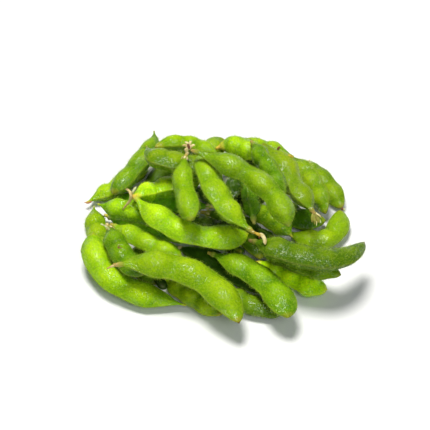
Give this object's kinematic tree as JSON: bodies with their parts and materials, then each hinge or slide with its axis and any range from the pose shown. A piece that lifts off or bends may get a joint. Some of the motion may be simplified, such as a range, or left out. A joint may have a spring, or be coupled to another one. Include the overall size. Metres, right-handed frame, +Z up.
{
  "type": "edamame pod bundle",
  "caption": "A low heap of whole green soybean pods lying across one another, ready to set on a plate or in a bowl.",
  "frame": {"origin": "middle of the heap's box, on the surface that the heap stands on", "axes": "+Z up; -Y towards the side that the long front pods run out over; +X to the right as seen from there"},
  "size_m": [0.1244, 0.1258, 0.0462],
  "materials": {
    "pod_skin_light": "wet, glossy yellow-green plant skin",
    "pod_skin": "wet, glossy green plant skin",
    "pod_skin_deep": "wet, glossy deep green plant skin"
  },
  "bodies": {
    "root": {"left_upper": "pod_skin_light", "left_front_curl": "pod_skin_light", "front_under": "pod_skin_deep", "front_base": "pod_skin", "right_front": "pod_skin_light", "left_tail": "pod_skin", "right_curl": "pod_skin_light", "right_top": "pod_skin_light", "right_row": "pod_skin", "base_left": "pod_skin_deep", "base_mid_left": "pod_skin_deep", "base_low_left": "pod_skin_deep", "base_back": "pod_skin_deep", "base_back_right": "pod_skin_deep", "base_back_mid": "pod_skin_deep", "base_right": "pod_skin_deep", "base_mid": "pod_skin_deep", "base_front": "pod_skin_deep", "left_row": "pod_skin", "left_mid": "pod_skin_light", "under_left": "pod_skin_deep", "gap_left": "pod_skin_deep", "gap_right": "pod_skin", "right_behind": "pod_skin_deep", "back_right": "pod_skin_light", "back_mid": "pod_skin", "under_diagonal": "pod_skin_deep", "gap_edge": "pod_skin_deep", "back_centre": "pod_skin", "left_top": "pod_skin_light", "back_left": "pod_skin_light", "left_inner": "pod_skin_light", "back_front": "pod_skin_light", "right_inner": "pod_skin_light", "right_edge_on": "pod_skin_deep", "front_right": "pod_skin_light", "right_long": "pod_skin_light", "front_long": "pod_skin_light", "centre_big": "pod_skin_light", "small_upright": "pod_skin_light", "centre_upright": "pod_skin_light", "top_diagonal": "pod_skin_light", "deep_left": "pod_skin_deep", "deep_middle": "pod_skin_deep", "deep_right": "pod_skin_deep"}
  },
  "joints": []
}
